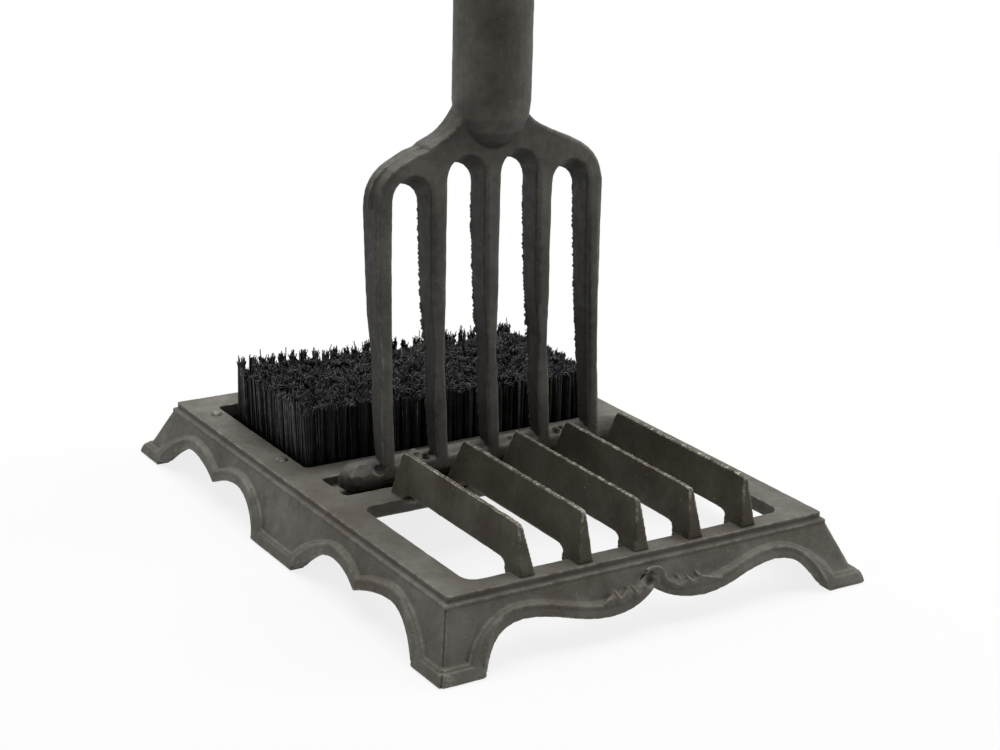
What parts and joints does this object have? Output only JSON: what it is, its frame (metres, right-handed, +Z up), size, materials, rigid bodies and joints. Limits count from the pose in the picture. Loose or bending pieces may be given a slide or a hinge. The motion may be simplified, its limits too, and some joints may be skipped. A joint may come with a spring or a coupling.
{
  "type": "boot scraper",
  "caption": "Cast iron boot scraper with a scalloped base, upright scraper blades, a boot brush and a garden fork with a D-shaped grip to hold on to.",
  "frame": {"origin": "on the floor, under the middle of the base", "axes": "+Z up along the fork, -Y towards the scraper blades, +Y towards the brush, X across the blades"},
  "size_m": [0.2716, 0.3782, 0.76],
  "materials": {
    "base_iron": "matt brown-grey cast iron",
    "blade_iron": "matt dark olive-brown cast iron, worn bright on the top edges",
    "fork_iron": "matt dark grey cast iron",
    "fastener_steel": "dull steel",
    "board_wood": "black painted wood",
    "bristle": "stiff black fibre"
  },
  "bodies": {
    "root": {"base_casting": "base_iron", "scraper_blade_1": "blade_iron", "scraper_blade_2": "blade_iron", "scraper_blade_3": "blade_iron", "scraper_blade_4": "blade_iron", "scraper_blade_5": "blade_iron", "brush_board": "board_wood", "bristle_slice_1": "bristle", "bristle_slice_2": "bristle", "bristle_slice_3": "bristle", "bristle_slice_4": "bristle", "brush_screw_1": "fastener_steel", "brush_screw_2": "fastener_steel", "brush_screw_3": "fastener_steel", "brush_screw_4": "fastener_steel", "fork_casting": "fork_iron", "fork_bolt_left": "fastener_steel", "fork_bolt_right": "fastener_steel", "fork_washer_left": "fastener_steel", "fork_washer_right": "fastener_steel", "socket_rivet": "fork_iron", "shaft_tube": "fork_iron", "grip_yoke": "fork_iron", "yoke_rivet": "fork_iron", "grip_bar": "fork_iron", "grip_pin": "fork_iron"}
  },
  "joints": []
}
